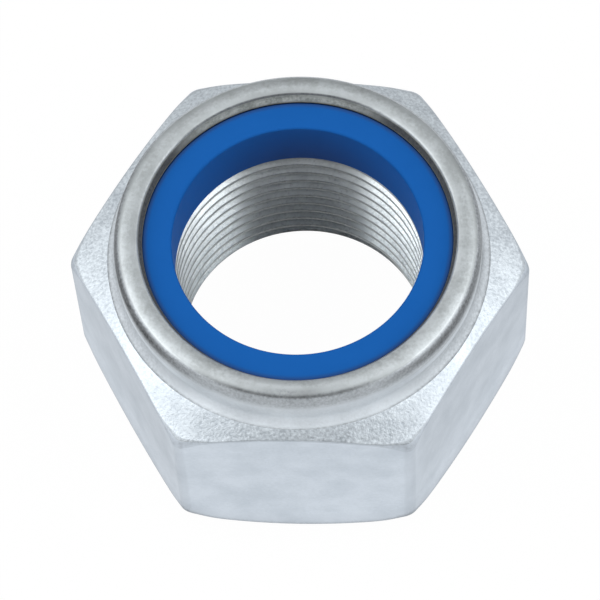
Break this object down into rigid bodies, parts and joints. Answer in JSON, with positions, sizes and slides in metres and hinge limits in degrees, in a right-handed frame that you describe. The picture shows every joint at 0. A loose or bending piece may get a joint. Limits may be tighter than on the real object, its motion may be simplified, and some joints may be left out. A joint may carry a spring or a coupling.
{
  "type": "nylon insert lock nut",
  "caption": "Hexagon lock nut with a tall rolled collar that holds a plain nylon ring above a fine thread, so that the bolt is gripped and cannot shake loose.",
  "frame": {"origin": "where the thread axis meets the bearing face", "axes": "+Z along the thread axis towards the collar, -Y square to one flat of the hexagon, X towards two of its corners"},
  "size_m": [0.0412, 0.036, 0.024],
  "materials": {
    "zinc_plated_steel": "clear zinc plating, satin, grainy on the forged shoulder",
    "blue_nylon": "smooth moulded nylon, semi-matte"
  },
  "bodies": {
    "root": {"nut_body": "zinc_plated_steel", "nylon_insert": "blue_nylon"}
  },
  "joints": []
}
